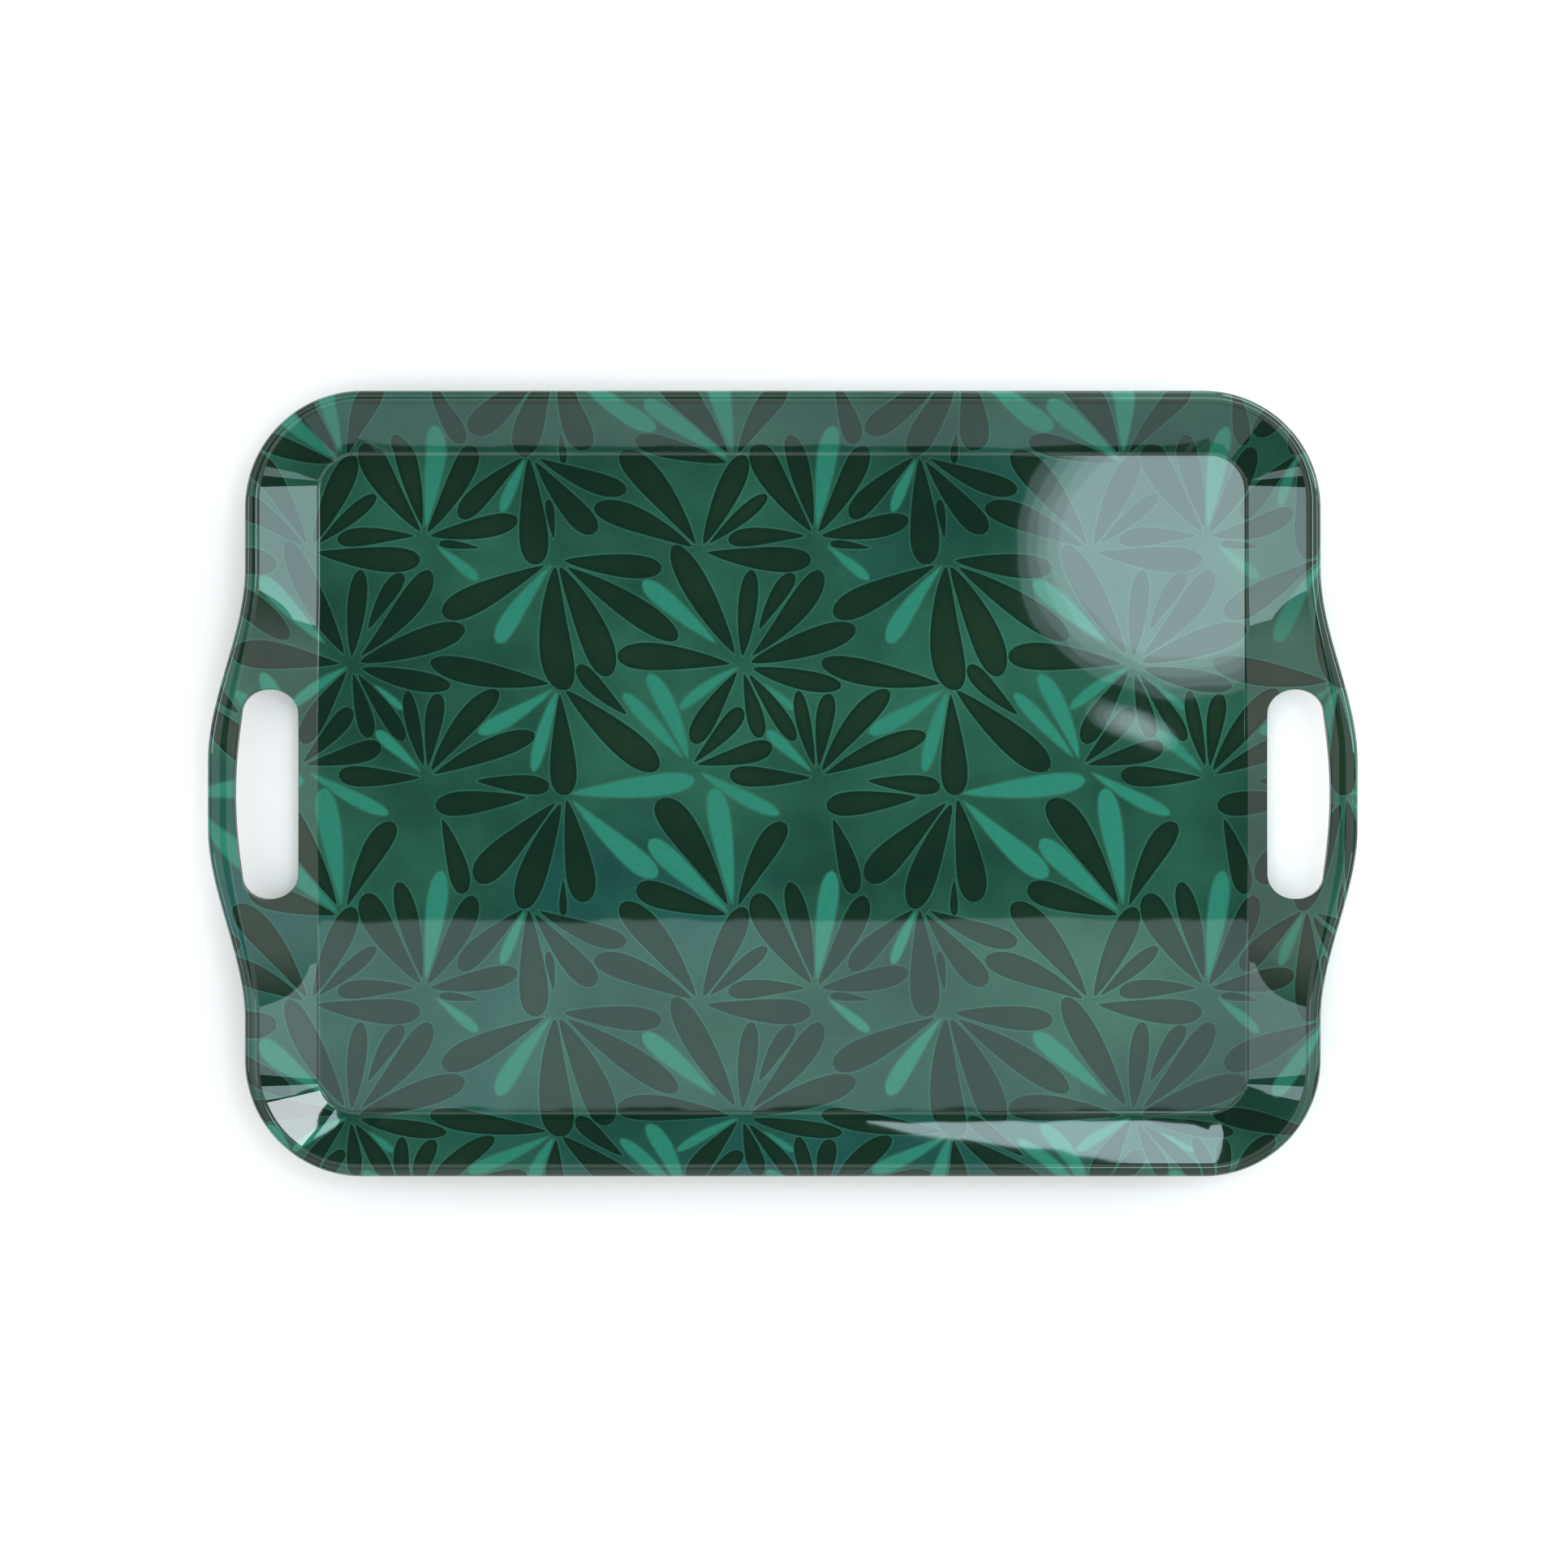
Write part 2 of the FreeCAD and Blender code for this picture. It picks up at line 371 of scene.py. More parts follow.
SLOT_PLACES, SLOT_NORMALS = slot_curve()
SLOT_WALK = np.concatenate([[0], np.cumsum(np.linalg.norm(np.diff(SLOT_PLACES, axis=0), axis=1))])
# Middles of the four roundings: the first is at both ends of the list of points
SLOT_CORNERS = [0, *(arc * ARC_POINTS + ARC_POINTS // 2 for arc in (1, 3, 4)), len(SLOT_WALK) - 1]


def slot_nodes():
    """Slot points and normals: low end, outer side, high end, inner side."""
    marks = []
    for first, last, cells in zip(SLOT_CORNERS, SLOT_CORNERS[1:], (SLOPE_CELLS, SLOT_SIDE_CELLS) * 2):
        marks += list(np.linspace(SLOT_WALK[first], SLOT_WALK[last], cells + 1)[:-1])
    pick = [np.interp(marks, SLOT_WALK, column) for column in (*SLOT_PLACES.T, *SLOT_NORMALS.T)]
    return np.column_stack(pick[:2]), unit(np.column_stack(pick[2:]))


def wing(sign, y, out, depth, side=1):
    """Place, normal and print position on the slope of a short side."""
    share, rate = bulge_at(y - HANDLE_CENTRE_Y)
    reach = swell(out) * HANDLE_BULGE
    x = FLOOR_LENGTH / 2 + out + reach * share
    z = FLOOR_TOP + out * math.tan(SLOPE) - depth / math.cos(SLOPE)
    stretch = 1 + SWELL_RATE * HANDLE_BULGE * share
    section = np.array([stretch * math.cos(SLOPE), 0, math.sin(SLOPE)])
    along = np.array([reach * rate, 1, 0])
    normal = unit(np.cross(section, along)) * side
    flip = np.array([sign, 1, 1])
    sheet = (sign * (FLOOR_LENGTH / 2 + FILLET_CENTRE[0] + print_climb(out, stretch)), y)
    return np.array([x, y, z]) * flip, normal * flip, np.array(sheet)


def print_climb(out, stretch):
    """Unrolled length of print up the fillet and slope, which a handle stretches outward."""
    turns = np.linspace(0, SLOPE, FILLET_CELLS + 1)
    radius = FLOOR_FILLET_RADIUS
    steps = np.column_stack([stretch * radius * np.sin(turns), radius * (1 - np.cos(turns))])
    fillet = np.linalg.norm(np.diff(steps, axis=0), axis=1).sum()
    run = out - FILLET_CENTRE[0] - radius * math.sin(SLOPE)
    return fillet + math.hypot(stretch * run, run * math.tan(SLOPE))


def out_at(x, y):
    """Distance out from the floor's edge of a place in plan on the right short side."""
    rate = HANDLE_BULGE * bulge_at(y - HANDLE_CENTRE_Y)[0] * SWELL_RATE
    return (x - FLOOR_LENGTH / 2 + FILLET_CENTRE[0] * rate) / (1 + rate)


def slot_frame(slope):
    """Nodes (y, out) round the patch that holds the slot, in step with slot_nodes."""
    flank = (HANDLE_REACH - HANDLE_CREST) / FLANK_CELLS
    marks = [-HANDLE_CREST - k * flank for k in range(SLOT_MARGIN_CELLS, 0, -1)]
    marks += [HANDLE_CREST * (2 * k / CREST_CELLS - 1) for k in range(CREST_CELLS + 1)]
    marks += [HANDLE_CREST + k * flank for k in range(1, SLOT_MARGIN_CELLS + 1)]
    marks = [HANDLE_CENTRE_Y + mark for mark in marks]
    outs = [row[0] for row in slope]
    border = [(marks[0], out) for out in outs[:-1]] + [(y, outs[-1]) for y in marks[:-1]]
    border += [(marks[-1], out) for out in outs[:0:-1]] + [(y, outs[0]) for y in marks[:0:-1]]
    return border


def slot_patch(surface, sign, depth, side, growth):
    """Patch of wing round the slot, whose hole is the slot grown by a margin."""
    border = slot_frame(section_rows(depth)[1])
    places, normals = slot_nodes()
    rim = [(place[1], out_at(*place)) for place in places + normals * growth]
    layers = []
    for k in range(SLOT_LAYERS + 1):
        share = k / SLOT_LAYERS
        layer = [np.add(inner, np.subtract(outer, inner) * share) for inner, outer in zip(rim, border)]
        layers.append([wing(sign, y, out, depth, side) for y, out in layer])
    surface.grid(*[closed([[node[part] for node in layer] for layer in layers]) for part in range(3)])


def slot_wall(surface, sign, top_depth, low_depth, top_round, low_round):
    """Upright wall of the slot between two depths, with rounded edges."""
    places, normals = slot_nodes()
    flip = np.array([sign, 1, 1])
    inward = np.column_stack([-normals, np.zeros(len(normals))]) * flip
    rows = []
    for turn in np.linspace(0, math.pi / 2, ROUND_CELLS + 1) if top_round else [math.pi / 2]:
        rows.append(wall_row(sign, places, normals, inward, top_depth, top_round, turn, 1))
    for turn in np.linspace(math.pi / 2, 0, ROUND_CELLS + 1) if low_round else [math.pi / 2]:
        rows.append(wall_row(sign, places, normals, inward, low_depth, low_round, turn, -1))
    surface.grid(*[closed([[node[part] for node in row] for row in rows]) for part in range(3)])


def wall_row(sign, places, normals, inward, depth, radius, turn, side):
    """One row of the slot's wall. turn is 0 at the face and a right angle where it is upright."""
    row = []
    for place, normal, into in zip(places, normals, inward):
        spot = place + normal * radius * (1 - math.sin(turn))
        node = wing(sign, spot[1], out_at(*spot), depth, side)
        drop = np.array([0, 0, side * radius * (1 - math.cos(turn))])
        row.append((node[0] - drop, unit(math.cos(turn) * node[1] + math.sin(turn) * into), node[2]))
    return row


def outside_slots():
    """True for the columns of the slope that aren't in a slot's patch."""
    reach = SLOT_MARGIN_CELLS + CREST_CELLS / 2
    columns = np.arange(COUNT) + 0.5 - FLANK_CELLS - CREST_CELLS / 2
    keep = (np.abs(columns) > reach) & (np.abs(columns - HANDLE_SPAN) > reach)
    return np.broadcast_to(keep, (SLOPE_CELLS, COUNT))


# ---------------------------------------------------------------- the two pieces

def wall(surface, depth, side, growth):
    """Fillet, slope and lip of one face, with the patches round both slots.

    Returns the section's first and last rows, and the print's length up to the last.
    """
    fillet, slope, lip = section_rows(depth)
    lengths = [print_lengths(fillet, np.zeros(COUNT))]
    for rows in (slope, lip):
        lengths.append(print_lengths(rows, lengths[-1][-1]))
    band(surface, fillet, side, lengths[0])
    band(surface, slope, side, lengths[1], outside_slots())
    band(surface, lip, side, lengths[2])
    for sign in (1, -1):
        slot_patch(surface, sign, depth, side, growth)
    return fillet[0], lip[-1], lengths[2][-1]


def print_skin():
    """Printed foil under its clear glaze: the whole upper face."""
    surface = Surface()
    top_floor, top_end, reach = wall(surface, 0.0, 1, SLOT_TOP_ROUND)
    low_floor, low_end, _ = wall(surface, SKIN_THICKNESS, -1, 0.0)
    fill_ring(surface, ring(*top_floor[:2]), 1)
    fill_ring(surface, ring(*low_floor[:2]), -1)
    ends = [ring(*top_end[:2]), ring(*low_end[:2])]
    down = np.broadcast_to([0.0, 0.0, -1.0], ends[0].shape)
    sheets = [on_sheet(end, reach) for end in ends]
    surface.grid(closed(ends), closed([down, down]), closed(sheets))
    for sign in (1, -1):
        slot_wall(surface, sign, 0.0, SKIN_THICKNESS, SLOT_TOP_ROUND, 0.0)
    return surface.build("leaf_print_under_glaze")


def body_moulding():
    """The moulded body under the print, with its foot ring."""
    surface = Surface()
    top_floor, top_end, _ = wall(surface, SKIN_THICKNESS, 1, 0.0)
    low_floor, low_end, _ = wall(surface, STACK_THICKNESS, -1, SLOT_UNDER_ROUND)
    fill_ring(surface, ring(*top_floor[:2]), 1)
    flat_band(surface, [ring(*top_end[:2]), ring(*low_end[:2])], (0.0, 0.0, -1.0))
    foot_ring(surface, ring(*low_floor[:2]))
    for sign in (1, -1):
        slot_wall(surface, sign, SKIN_THICKNESS, STACK_THICKNESS, 0.0, SLOT_UNDER_ROUND)
    return surface.build("melamine_body")


def foot_ring(surface, floor_edge):
    """Underside: level margin, foot ring and level middle."""
    under = -STACK_THICKNESS
    sole = under - FOOT_HEIGHT
    outer = -FOOT_INSET
    inner = outer - FOOT_WIDTH
    down = (0.0, 0.0, -1.0)
    steep = math.atan2(FOOT_DRAFT, FOOT_HEIGHT)
    profile = [(outer, under), (outer - FOOT_DRAFT, sole), (inner + FOOT_DRAFT, sole), (inner, under)]
    rings = [ring(*row) for row in profile]
    outward = ring_normals(outer, -math.pi / 2 + steep)
    flat_band(surface, [floor_edge, rings[0]], down)
    for pair, facing in ((rings[0:2], outward), (rings[2:4], outward * [-1, -1, 1])):
        facing = unit(facing * [1, 1, 0] + [0, 0, -math.sin(steep)])
        surface.grid(closed(pair), closed([facing, facing]), closed([r[:, :2] for r in pair]))
    flat_band(surface, rings[1:3], down)
    fill_ring(surface, rings[3], -1)


# ---------------------------------------------------------------- leaf print: the pattern

TILE = np.array((166, 192)) * MM
LEAF_SEED = 33
FOCUS_ROWS = 4
FANS_IN_ROW = (3, 2)
LEAF_GAP = 0.7 * MM
CROWDED_GAP = 0.2 * MM
LEAF_STEP = 1.2 * MM
LEAF_LONGEST = 60 * MM
LEAF_SHORTEST = 10 * MM
FILLER_LONGEST = 40 * MM
FREE_LENGTH = 17 * MM  # from this length a leaf keeps the full gap
WIDEST = 0.19
WIDEST_BRIGHT = 0.14
MOST_BENT = 3.5
GROWTH_ROUNDS = 140
FILLER_TRIES = 80
BRIGHT_SHARE = 0.25
OUTLINE_SHARES = np.linspace(0.0, 1.0, 13)

# Draws: a pair is the lowest and highest value, and a single one is the most either way.
# Angles are in radians unless they say degrees, and bends are per metre.
FIRST_FOCUS = 0.25
STAGGER = 0.5
FOCUS_WANDER = (0.13, 0.2)  # along X and Y, as shares of a place in the row and of a row
FAN_LEAN = 0.5
FAN_LEAVES = (5, 5, 6)
FAN_TURN = (24, 31)  # degrees from leaf to leaf
STAR_LEAVES = 10
STAR_TURN = 36  # degrees
LEAF_LEAN = 0.07
FAN_START = (2, 6)  # mm from the focus
FAN_GIRTH = (0.11, 0.14)
FAN_BEND = 1.6
FAN_BASE = (0.6, 0.85)
FAN_REACH = (0.6, 1.0)
POINTED_SHARE = 0.3
POINTED_TIP = 2.2
ROUND_TIP = (3.0, 6.0)
FILLER_START = (5, 40)  # mm from the focus
FILLER_GIRTH = 0.14
FILLER_BASE = 0.7
FILLER_TIP = 4.5
STEP_SHARE = (0.3, 1.0)
TURN_SPREAD = 0.035
BEND_SPREAD = 0.5
GIRTH_CHANGE = (0.98, 1.06)

# The numbers that make a leaf
FOCUS_X, FOCUS_Y, START, ANGLE, SIZE, GIRTH, BEND, BASE, TIP, BRIGHT, LIMIT = range(11)


def half_width(share, base, tip):
    """Half the width at a share of a leaf's length, before it is scaled by the girth."""
    share = np.clip(share, 0.0, 1.0)
    return share ** base * (1.0 - share ** tip) ** 0.5


def leaf_outline(leaf):
    """Points along both edges and the middle of a leaf."""
    along = OUTLINE_SHARES * leaf[SIZE]
    half = half_width(OUTLINE_SHARES, leaf[BASE], leaf[TIP]) * leaf[GIRTH] * leaf[SIZE]
    across = np.concatenate([leaf[BEND] * along ** 2 + side * half for side in (-1, 0, 1)])
    along = np.tile(along, 3) + leaf[START]
    cos, sin = math.cos(leaf[ANGLE]), math.sin(leaf[ANGLE])
    return np.column_stack([leaf[FOCUS_X] + along * cos - across * sin,
                            leaf[FOCUS_Y] + along * sin + across * cos])


def leaf_distance(leaves, spots):
    """Rough distances of spots from leaves, below zero inside, with the tile repeating."""
    part = leaves[:, :, None]
    cos, sin = np.cos(part[:, ANGLE]), np.sin(part[:, ANGLE])
    dx = spots[None, :, 0] - part[:, FOCUS_X] - part[:, START] * cos
    dy = spots[None, :, 1] - part[:, FOCUS_Y] - part[:, START] * sin
    dx = (dx + TILE[0] / 2) % TILE[0] - TILE[0] / 2
    dy = (dy + TILE[1] / 2) % TILE[1] - TILE[1] / 2
    along = dx * cos + dy * sin
    across = np.abs(dy * cos - dx * sin - part[:, BEND] * along * np.abs(along))
    half = half_width(along / part[:, SIZE], part[:, BASE], part[:, TIP])
    half = half * part[:, GIRTH] * part[:, SIZE]
    beyond = np.maximum(np.maximum(-along, along - part[:, SIZE]), 0.0)
    return np.where(beyond > 0, np.hypot(beyond, across), across - half)


class Spray:
    """Leaves that grow in fans until they nearly touch, on a repeating tile."""

    def __init__(self, seed):
        self.dice = random.Random(seed)
        self.leaves, self.outlines = [], []
        self.foci = self.place_foci()
        for number, focus in enumerate(self.foci):
            self.add_fan(focus, star=number == FOCUS_ROWS)
        self.grow(0, GROWTH_ROUNDS)
        first = len(self.leaves)
        self.add_fillers()
        self.grow(first, GROWTH_ROUNDS // 2)
        self.grow(0, GROWTH_ROUNDS // 4)

    def either_way(self, most):
        return self.dice.uniform(-most, most)

    def place_foci(self):
        """Staggered rows of fans, as (x, y, 1 for up or -1 for down)."""
        foci = []
        for row in range(FOCUS_ROWS):
            odd = row % 2
            fans = FANS_IN_ROW[odd]
            for column in range(fans):
                place = column + FIRST_FOCUS + STAGGER * odd
                x = (place + self.either_way(FOCUS_WANDER[0])) * TILE[0] / fans
                y = (row + self.either_way(FOCUS_WANDER[1])) * TILE[1] / FOCUS_ROWS
                foci.append((x, y, 1 - 2 * ((row + column) % 2)))
        return foci

    def room_for(self, leaf, skip, gap):
        """Whether a leaf keeps a gap from all the others. skip is its own number, if it has one."""
        others = [other for index, other in enumerate(self.leaves) if index != skip]
        if not others:
            return True
        if (leaf_distance(np.array(others), leaf_outline(leaf)) < gap).any():
            return False
        edges = [edge for index, edge in enumerate(self.outlines) if index != skip]
        return not (leaf_distance(leaf[None, :], np.concatenate(edges)) < gap).any()

    def add(self, leaf, gap):
        if self.room_for(leaf, -1, gap):
            self.leaves.append(leaf)
            self.outlines.append(leaf_outline(leaf))

    def add_fan(self, focus, star):
        """Leaves side by side from one focus. A star opens all round."""
        dice = self.dice
        facing = math.pi / 2 * focus[2] + self.either_way(FAN_LEAN)
        count = STAR_LEAVES if star else dice.choice(FAN_LEAVES)
        turn = math.radians(STAR_TURN if star else dice.uniform(*FAN_TURN))
        for index in range(count):
            angle = facing + (index - (count - 1) / 2) * turn + self.either_way(LEAF_LEAN)
            tip = POINTED_TIP if dice.random() < POINTED_SHARE else dice.uniform(*ROUND_TIP)
            self.add(np.array([
                focus[0], focus[1], dice.uniform(*FAN_START) * MM, angle, LEAF_SHORTEST,
                dice.uniform(*FAN_GIRTH), self.either_way(FAN_BEND), dice.uniform(*FAN_BASE), tip,
                dice.random() < BRIGHT_SHARE, dice.uniform(*FAN_REACH) * LEAF_LONGEST]), CROWDED_GAP)

    def add_fillers(self):
        """More leaves of the same fans, in the room that is left."""
        dice = self.dice
        for attempt in range(FILLER_TRIES):
            focus = dice.choice(self.foci)
            self.add(np.array([
                focus[0], focus[1], dice.uniform(*FILLER_START) * MM, self.either_way(math.pi),
                LEAF_SHORTEST, FILLER_GIRTH, 0.0, FILLER_BASE, FILLER_TIP,
                dice.random() < BRIGHT_SHARE, FILLER_LONGEST]), LEAF_GAP)

    def grow(self, first, rounds):
        """Lengthen, turn, bend and widen each leaf a little at a time, where there is room."""
        dice = self.dice
        for turn in range(rounds):
            for index in range(first, len(self.leaves)):
                leaf = self.leaves[index].copy()
                leaf[SIZE] = min(leaf[SIZE] + LEAF_STEP * dice.uniform(*STEP_SHARE), leaf[LIMIT])
                leaf[ANGLE] += dice.gauss(0, TURN_SPREAD)
                leaf[BEND] += dice.gauss(0, BEND_SPREAD)
                leaf[GIRTH] *= dice.uniform(*GIRTH_CHANGE)
                gap = LEAF_GAP if leaf[SIZE] > FREE_LENGTH else CROWDED_GAP
                widest = WIDEST_BRIGHT if leaf[BRIGHT] else WIDEST
                if leaf[GIRTH] > widest or abs(leaf[BEND]) > MOST_BENT:
                    continue
                if self.room_for(leaf, index, gap):
                    self.leaves[index] = leaf
                    self.outlines[index] = leaf_outline(leaf)


# ---------------------------------------------------------------- nodes

class Nodes:
    """Short ways to add linked nodes to a tree."""

    def __init__(self, tree):
        self.tree = tree
        tree.nodes.clear()

    def add(self, kind, *inputs, output=0, **settings):
        node = self.tree.nodes.new(kind)
        for name, value in settings.items():
            setattr(node, name, value)
        self.fill(node, dict(enumerate(inputs)))
        return node.outputs[output] if node.outputs else None

    def fill(self, node, inputs):
        """Link or set a node's inputs, by number or name."""
        for key, value in inputs.items():
            if isinstance(value, bpy.types.NodeSocket):
                self.tree.links.new(value, node.inputs[key])
            elif value is not None:
                node.inputs[key].default_value = value

    def math(self, operation, *inputs, clamp=False):
        return self.add("ShaderNodeMath", *inputs, operation=operation, use_clamp=clamp)

    def vector(self, operation, *inputs):
        output = 1 if operation == "DOT_PRODUCT" else 0
        return self.add("ShaderNodeVectorMath", *inputs, operation=operation, output=output)

    def mix(self, share, first, second):
        node = self.tree.nodes.new("ShaderNodeMix")
        node.data_type = "RGBA"
        self.fill(node, {0: share, 6: first, 7: second})
        return node.outputs[2]

    def noise(self, place, scale, detail=2.0, roughness=0.5):
        node = self.tree.nodes.new("ShaderNodeTexNoise")
        self.fill(node, {"Vector": place, "Scale": scale, "Detail": detail, "Roughness": roughness})
        return node.outputs[0]

    def ramp(self, value, low, high):
        """0 at low, 1 at high, straight between and level outside."""
        return self.math("MULTIPLY_ADD", value, 1 / (high - low), -low / (high - low), clamp=True)

    def bump(self, height, strength, distance):
        node = self.tree.nodes.new("ShaderNodeBump")
        self.fill(node, {"Strength": strength, "Distance": distance, "Height": height})
        return node.outputs[0]

    def shader(self, inputs):
        """Principled shader and output, with inputs by name."""
        node = self.tree.nodes.new("ShaderNodeBsdfPrincipled")
        self.fill(node, inputs)
        self.add("ShaderNodeOutputMaterial", node.outputs[0])


def srgb(red, green, blue):
    """Linear colour of an sRGB one on a 0 to 255 scale."""
    shares = (value / 255 for value in (red, green, blue))
    return (*(s / 12.92 if s <= 0.04045 else ((s + 0.055) / 1.055) ** 2.4 for s in shares), 1.0)


LEAF_VECTORS = ("Spot", "Along", "Across")
LEAF_INPUTS = (*LEAF_VECTORS, "Bend", "Foot power", "Tip power", "Girth", "Size", "Half size")


def leaf_group():
    """Node group: distance of a spot on the sheet from one leaf, below zero inside.

    The spot's third coordinate is 1, so Along and Across can move the origin to the
    leaf's foot. Along gives the share of the leaf's length.
    """
    tree = bpy.data.node_groups.new("leaf", "ShaderNodeTree")
    nodes = Nodes(tree)
    for name in LEAF_INPUTS:
        kind = "NodeSocketVector" if name in LEAF_VECTORS else "NodeSocketFloat"
        tree.interface.new_socket(name, in_out="INPUT", socket_type=kind)
    tree.interface.new_socket("Distance", in_out="OUTPUT", socket_type="NodeSocketFloat")
    given = tree.nodes.new("NodeGroupInput").outputs
    spot, along, across, bend, foot_power, tip_power, girth, size, half_size = given[:len(LEAF_INPUTS)]
    share = nodes.vector("DOT_PRODUCT", spot, along)
    curve = nodes.math("MULTIPLY", share, share)
    aside = nodes.math("MULTIPLY_ADD", curve, bend, nodes.vector("DOT_PRODUCT", spot, across))
    foot = nodes.math("POWER", share, foot_power)
    profile = nodes.math("SQRT", nodes.math("SUBTRACT", foot, nodes.math("POWER", share, tip_power)))
    side_gap = nodes.math("MULTIPLY_ADD", profile, girth, nodes.math("ABSOLUTE", aside))
    middle = nodes.math("ABSOLUTE", nodes.math("SUBTRACT", share, 0.5))
    end_gap = nodes.math("MULTIPLY_ADD", middle, size, half_size)
    nodes.add("NodeGroupOutput", nodes.math("MAXIMUM", side_gap, end_gap))
    return tree


def leaf_inputs(leaf):
    """What a leaf's group node is given, apart from the spot."""
    size = leaf[SIZE]
    along = np.array([math.cos(leaf[ANGLE]), math.sin(leaf[ANGLE])])
    across = np.array([-along[1], along[0]])
    foot = leaf[[FOCUS_X, FOCUS_Y]] + leaf[START] * along
    power = 2 * leaf[BASE]
    values = (
        (*(along / size), -foot.dot(along) / size), (*across, -foot.dot(across)),
        -leaf[BEND] * size ** 2, power, power + leaf[TIP], -leaf[GIRTH] * size, size, -size / 2)
    return dict(zip(LEAF_INPUTS[1:], values))


def nearest_leaves(nodes, spot, leaves):
    """Distances to the nearest dark leaf and the nearest bright one."""
    group = leaf_group()
    nearest = {False: None, True: None}
    for focus in dict.fromkeys((leaf[FOCUS_X], leaf[FOCUS_Y]) for leaf in leaves):
        high = (*(focus + TILE / 2), 1.5)
        low = (*(focus - TILE / 2), 0.5)
        nearby = nodes.vector("WRAP", spot, high, low)
        for leaf in leaves:
            if (leaf[FOCUS_X], leaf[FOCUS_Y]) != focus:
                continue
            node = nodes.tree.nodes.new("ShaderNodeGroup")
            node.node_tree = group
            nodes.fill(node, {"Spot": nearby, **leaf_inputs(leaf)})
            kind = bool(leaf[BRIGHT])
            distance = node.outputs[0]
            nearest[kind] = nodes.math("MINIMUM", nearest[kind], distance) if nearest[kind] else distance
    return nearest[False], nearest[True]


# ---------------------------------------------------------------- materials

GROUND_DEEP = srgb(22, 65, 52)
GROUND_LIT = srgb(36, 85, 68)
GROUND_BLUE = srgb(18, 72, 73)
HALO = srgb(66, 124, 102)
DARK_LEAF = srgb(8, 38, 27)
DARK_LEAF_WARM = srgb(21, 45, 30)
BRIGHT_LEAF = srgb(40, 122, 102)
BRIGHT_LEAF_EDGE = srgb(35, 110, 91)
EDGE_SOFTNESS = 0.3 * MM
HALO_WIDTH = 0.8 * MM
HALO_SHARE = 0.22  # of the halo's colour, round every leaf
WARM_FROM, WARM_TO = -0.4 * MM, -2.4 * MM  # depth inside a dark leaf where it turns warmer
BRIGHT_EDGE = -0.5 * MM  # depth of a bright leaf's darker edge
BRIGHT_CLOUDS = 0.35
COOL_SHARE = 0.7
CLOUD_SCALE, COOL_SCALE, GRAIN_SCALE = 11.0, 6.5, 420.0  # noise cells in a metre
CLOUD_RANGE, COOL_RANGE = (0.36, 0.64), (0.5, 0.72)  # noise values where each starts and is full
SWIRL_SCALE, FLOW_SCALE = 260.0, 34.0
GRAIN_DEPTH, CLOUD_DEPTH, DIMMEST = 0.3, 0.2, 0.78
PRINT_ROUGHNESS = (0.12, 0.34)  # swing of the swirl, and what it is added to

MELAMINE_DARK = srgb(17, 37, 31)
MELAMINE_LIT = srgb(27, 52, 43)
MELAMINE_WORN = srgb(84, 104, 95)
MOULD_CLOUD_SCALE, MOULD_GRAIN_SCALE, SCUFF_SCALE = 18.0, 900.0, 340.0
MOULD_ROUGHNESS = (0.16, 0.26)
SCUFF_RANGE = (0.54, 0.66)
SCUFF_COLOUR, SCUFF_ROUGHNESS = 0.6, 0.3
SCUFF_SQUEEZE = (1.0, 0.25, 1.0)  # scuffs are four times as long along Y
WEAR_HEIGHT = (0.5 * MM, 0.1 * MM)  # wear starts at the first and is full at the second


